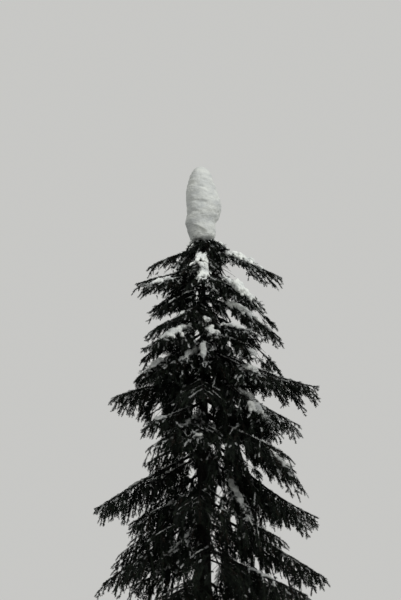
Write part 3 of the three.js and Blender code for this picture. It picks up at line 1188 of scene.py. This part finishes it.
cap = {
    "base": 10.775,
    "height": 1.225,
    "outline": [     # height over the base, radius and sideways shift
        (0.000, 0.000, -0.045),
        (-0.012, 0.090, -0.045),
        (0.006, 0.150, -0.040),
        (0.057, 0.200, -0.014),
        (0.130, 0.222, -0.024),
        (0.210, 0.230, -0.038),
        (0.290, 0.236, -0.048),
        (0.400, 0.256, -0.008),
        (0.500, 0.273, 0.008),
        (0.590, 0.278, 0.004),
        (0.690, 0.266, -0.008),
        (0.790, 0.250, -0.022),
        (0.890, 0.228, -0.032),
        (0.985, 0.202, -0.038),
        (1.070, 0.174, -0.038),
        (1.140, 0.136, -0.041),
        (1.190, 0.092, -0.042),
        (1.217, 0.045, -0.044),
        (1.225, 0.000, -0.045),
    ],
    "steps": 170,
    "rings": 240,
    "weld": 0.0001,
    "smoothTop": 0.10,
    "lumps": [(6.5, 0.016), (17.0, 0.009), (40.0, 0.004)],      # how fine, and how deep
    "layer": 0.075,
    "layerSpread": 2.4,
    "layerRelief": 0.005,
    "layerWave": 0.05,
    "waveScale": 4.0,
    "tilt": 0.33,
    "crease": 0.35,
    "creaseDepth": 0.006,
    "creaseLeast": 0.35,        # share of it on the right side
    "creaseSides": (0.1, -0.2),
    "front": (0.06, -0.06),
    "folds": [       # height, slope, from and to sideways, depth
        (0.830, -0.45, -0.34, 0.12, 0.013),
        (0.960, -0.25, -0.34, 0.10, 0.006),
        (0.565, -0.17, -0.34, 0.06, 0.013),
        (0.440, -0.10, 0.00, 0.30, 0.009),
        (0.430, 0.10, -0.34, -0.10, 0.016),
    ],
    "foldWidth": 0.030,
    "foldStart": (-0.02, 0.04),
    "foldEnd": (0.04, -0.04),
    "foldWave": 0.02,
    "foldWaveScale": 9.0,
    "ledgeHeight": 0.150,
    "ledgeSlope": -0.52,
    "ledgeDepth": 0.026,
    "ledgeEdge": 0.012,
    "ledgeSides": (0.07, 0.01),
}


# a smooth curve through the points, at even steps
def smoothRow(points, count):
    points = np.array(points)
    padded = np.vstack([2 * points[0] - points[1], points, 2 * points[-1] - points[-2]])
    places = np.linspace(0, len(points) - 1.0001, count * 4)
    start = places.astype(int)
    f = (places - start)[:, None]
    a, b, c, d = (padded[start + k] for k in range(4))
    bend = (2 * a - 5 * b + 4 * c - d) * f ** 2 + (3 * b - a - 3 * c + d) * f ** 3
    curve = 0.5 * (2 * b + (c - a) * f + bend)
    run = np.concatenate([[0], np.cumsum(np.linalg.norm(np.diff(curve[:, :2], axis=0), axis=1))])
    even = np.linspace(0, run[-1], count)
    return np.column_stack([np.interp(even, run, column) for column in curve.T])


def step(low, high, value):
    share = min(1.0, max(0.0, (value - low) / (high - low)))
    return share * share * (3 - 2 * share)


def capRelief(point):
    tilted = point.z + cap["tilt"] * point.x + noise.noise(point * cap["waveScale"]) * cap["layerWave"]
    spread = cap["layerSpread"]
    layer = noise.noise(Vector((point.x * spread, point.y * spread, tilted / cap["layer"])))
    crease = max(0.0, 1.0 - abs(layer) / cap["crease"]) ** 2
    least = cap["creaseLeast"]
    crease *= least + (1 - least) * step(*cap["creaseSides"], point.x)
    relief = layer * cap["layerRelief"] - crease * cap["creaseDepth"]
    relief += sum(noise.noise(point * scale) * depth for scale, depth in cap["lumps"])
    front = step(*cap["front"], point.y)
    wave = noise.noise(point * cap["foldWaveScale"]) * cap["foldWave"]
    for height, slope, start, end, depth in cap["folds"]:
        off = (point.z - height - slope * point.x - wave) / cap["foldWidth"]
        along = step(*(start + edge for edge in cap["foldStart"]), point.x)
        along *= step(*(end + edge for edge in cap["foldEnd"]), point.x)
        relief -= depth * math.exp(-off * off) * along * front
    over = point.z - cap["ledgeHeight"] - cap["ledgeSlope"] * point.x
    under = step(cap["ledgeEdge"], -cap["ledgeEdge"], over)
    return relief - cap["ledgeDepth"] * under * step(*cap["ledgeSides"], point.x) * front


def makeCap():
    rows = smoothRow(cap["outline"], cap["rings"])
    side = [(max(0.0, radius), 0.0, height) for height, radius, shift in rows]
    bm = spinRound(side, cap["steps"], cap["weld"])
    bmesh.ops.recalc_face_normals(bm, faces=bm.faces)
    bm.normal_update()
    for vert in bm.verts:
        shift = float(np.interp(vert.co.z, rows[:, 0], rows[:, 2]))
        fade = step(0.0, cap["smoothTop"], cap["height"] - vert.co.z)
        vert.co += vert.normal * capRelief(vert.co) * fade
        vert.co.x += shift
        vert.co.z += cap["base"]
    piece = addPiece("snowCap", meshFromBmesh("snowCap", bm), [capSnow])
    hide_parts("snow_cap")


makeCap()
print("snow cap made")


# snow that lies on the boughs: uneven rolls along the wood, run together and smoothed

snow = {
    "voxel": 0.0138,
    "smooth": 3,
    "smoothShare": 0.5,
    "lumps": [(15.0, 0.026), (42.0, 0.015)],        # how fine, and how deep
    "ridgeShare": 0.55,       # share of the other boughs that carry some
    "ridgeStart": (0.18, 0.5),
    "ridgeLength": (0.15, 0.4),
    "frontRadius": (0.015, 0.028),
    "backRadius": (0.024, 0.065),
    "backFacing": 0.3,
    "frontFacing": -0.88,
    "step": 0.03,
    "fewest": 4,
    "waves": (8, 16),
    "phases": (0, 6),
    "waveDepth": 0.30,
    "ends": 0.30,           # share of the radius at both ends of a roll
    "fullness": 0.6,
    "sizes": (0.7, 1.2),
    "lift": 0.75,
    "wander": 0.14,
    "flat": (1.0, 1.0, 0.5),
    "strands": 5,
    "strandEnds": (0.0, 0.3),
    "strandRadius": (0.40, 0.75),
    "strandRise": (-0.2, 0.5),
    "strandSide": (-0.7, 1.3),
    "bedded": 0.6,
    "twigShare": 0.75,
    "twigSlack": 0.03,
    "twigReach": (0.25, 0.7),
    "twigRadius": (0.35, 0.6),
    "steepest": 1.0,
}


def snowRoll(points, radius, random):
    count = len(points)
    place = np.linspace(0, 1, count)
    turns = place * random.uniform(*snow["waves"]) + random.uniform(*snow["phases"])
    wave = 1 + snow["waveDepth"] * np.sin(turns)
    body = snow["ends"] + (1 - snow["ends"]) * np.sin(np.pi * place) ** snow["fullness"]
    size = radius * body * wave * random.uniform(*snow["sizes"], count)
    wander = random.normal(0, snow["wander"] * radius, (count, 3)) * snow["flat"]
    return points + up * (size * snow["lift"])[:, None] + wander, size


def facesCamera(bough):
    return math.sin(math.radians(bough["aim"])) < snow["frontFacing"]


def openSide(bough):
    aim = math.radians(bough["aim"])
    side = np.array([-math.sin(aim), math.cos(aim), 0.0])
    return side if side[1] < 0 else -side


# several rolls side by side make one uneven ridge
def boughRolls(bough, start, end, radius, random):
    side = openSide(bough)
    rolls = []
    for i in range(snow["strands"]):
        first = start + (end - start) * random.uniform(*snow["strandEnds"])
        last = end - (end - start) * random.uniform(*snow["strandEnds"])
        size = radius * random.uniform(*snow["strandRadius"])
        count = max(snow["fewest"], int((last - first) * bough["reach"] / snow["step"]))
        t = np.linspace(first, last, count)
        rise = boughRadius(bough, t) * snow["bedded"] + radius * random.uniform(*snow["strandRise"])
        shift = up * rise[:, None] + side * radius * random.uniform(*snow["strandSide"])
        rolls.append(snowRoll(boughPoint(bough, t) + shift, size, random))
    for item in bough["sprays"]:
        near = start - snow["twigSlack"] < item["t"] < end + snow["twigSlack"]
        if not near or random.random() > snow["twigShare"] or item["slope"] > snow["steepest"]:
            continue
        far = random.uniform(*snow["twigReach"]) * item["length"]
        s = np.linspace(0, far, max(snow["fewest"], int(far / snow["step"])))
        size = radius * random.uniform(*snow["twigRadius"])
        rolls.append(snowRoll(sprayPoint(bough, item, s), size, random))
    return rolls


def makeBoughSnow(boughs):
    rolls = []
    for bough in boughs:
        random = np.random.default_rng(seeds["snow"] + bough["seed"])
        if "snow" in bough:
            rolls += boughRolls(bough, *bough["snow"], random)
        elif random.random() < snow["ridgeShare"] and not facesCamera(bough):
            start = random.uniform(*snow["ridgeStart"])
            end = start + random.uniform(*snow["ridgeLength"])
            atBack = math.sin(math.radians(bough["aim"])) > snow["backFacing"]
            radius = random.uniform(*snow["backRadius" if atBack else "frontRadius"])
            rolls += boughRolls(bough, start, end, radius, random)
    piece = addPiece("boughSnow", tubeMesh("rolls", rolls, 2), [ridgeSnow])
    remesh = piece.modifiers.new("join", "REMESH")
    remesh.mode = "VOXEL"
    remesh.voxel_size = snow["voxel"]
    smooth = piece.modifiers.new("soften", "SMOOTH")
    smooth.iterations = snow["smooth"]
    smooth.factor = snow["smoothShare"]
    evaluated = piece.evaluated_get(bpy.context.evaluated_depsgraph_get())
    joined = bpy.data.meshes.new_from_object(evaluated)
    piece.modifiers.clear()
    bm = bmesh.new()
    bm.from_mesh(joined)
    bm.normal_update()
    for vert in bm.verts:
        vert.co += vert.normal * sum(noise.noise(vert.co * scale) * depth for scale, depth in snow["lumps"])
    bm.to_mesh(joined)
    bm.free()
    joined.polygons.foreach_set("use_smooth", [True] * len(joined.polygons))
    piece.data = joined
    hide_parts(*[name for name in nodeNames if name.startswith("snow_") and name != "snow_cap"])
    print("bough snow faces", len(joined.polygons))


# thin broken lines of snow on boughs and twigs

dust = {
    "boughShare": 0.85,
    "boughStart": (0.10, 0.35),
    "boughEnd": (0.70, 1.0),
    "boughRadius": (0.006, 0.013),
    "twigShare": 0.30,
    "twigReach": (0.4, 0.95),
    "twigRadius": (0.003, 0.007),
    "step": 0.022,
    "fewest": 5,
    "waves": (0.3, 0.8),
    "phases": (0, 6),
    "waveLeast": 0.7,
    "waveDepth": 0.4,
    "sizes": (0.3, 1.7),
    "ends": 0.3,
    "lift": 0.5,
    "wander": 0.004,
}


def dustLine(points, radius, random):
    count = len(points)
    turns = np.arange(count) * random.uniform(*dust["waves"]) + random.uniform(*dust["phases"])
    wave = dust["waveLeast"] + dust["waveDepth"] * np.sin(turns)
    size = radius * wave * random.uniform(*dust["sizes"], count)
    size[[0, -1]] *= dust["ends"]
    stray = random.normal(0, dust["wander"], (count, 3))
    return points + up * (size * dust["lift"])[:, None] + stray, size


def makeFineSnow(boughs):
    lines = []
    for bough in boughs:
        random = np.random.default_rng(seeds["fineSnow"] + bough["seed"])
        if random.random() < dust["boughShare"] and not facesCamera(bough):
            start = random.uniform(*dust["boughStart"])
            end = random.uniform(*dust["boughEnd"])
            count = max(dust["fewest"], int((end - start) * bough["reach"] / dust["step"]))
            t = np.linspace(start, end, count)
            points = boughPoint(bough, t) + up * boughRadius(bough, t)[:, None]
            lines.append(dustLine(points, random.uniform(*dust["boughRadius"]), random))
        for item in bough["sprays"]:
            if random.random() > dust["twigShare"] or item["slope"] > snow["steepest"]:
                continue
            far = item["length"] * random.uniform(*dust["twigReach"])
            s = np.linspace(0, far, max(dust["fewest"], int(far / dust["step"])))
            lines.append(dustLine(sprayPoint(bough, item, s), random.uniform(*dust["twigRadius"]), random))
    piece = addPiece("fineSnow", tubeMesh("fineSnow", lines, 1), [ridgeSnow])
    print("fine snow lines", len(lines), "faces", len(piece.data.polygons))


makeBoughSnow(boughs)
makeFineSnow(boughs)


# plain pale floor, pale sky and soft light from the right

studio = {
    "floorRadius": 900.0,
    "floorSides": 128,
    "floorDrop": 0.002,
    "floorColor": (0.56, 0.56, 0.55),
    "sky": (0.575, 0.575, 0.560),
    "sunStrength": 1.5,
    "sunSoftness": 16,
    "sunTurn": (52, 0, 38),     # degrees
}


def makeStudio():
    bm = bmesh.new()
    sides, radius = studio["floorSides"], studio["floorRadius"]
    bmesh.ops.create_circle(bm, cap_ends=True, segments=sides, radius=radius)
    bmesh.ops.translate(bm, verts=bm.verts, vec=(0.0, 0.0, -studio["floorDrop"]))
    floor = bpy.data.objects.new("floor", meshFromBmesh("floor", bm))
    floor.data.materials.append(Shader("floorPaint", 0.9, studio["floorColor"], 0.0).material)
    scene.collection.objects.link(floor)

    world = bpy.data.worlds.new("sky")
    scene.world = world
    world.use_nodes = True
    world.node_tree.nodes["Background"].inputs["Color"].default_value = (*studio["sky"], 1.0)
    world.node_tree.nodes["Background"].inputs["Strength"].default_value = 1.0

    data = bpy.data.lights.new("sun", "SUN")
    data.energy = studio["sunStrength"]
    data.angle = math.radians(studio["sunSoftness"])
    sun = bpy.data.objects.new("sun", data)
    sun.rotation_euler = [math.radians(turn) for turn in studio["sunTurn"]]
    scene.collection.objects.link(sun)

    scene.view_settings.view_transform = "Standard"


makeStudio()
print("studio made")
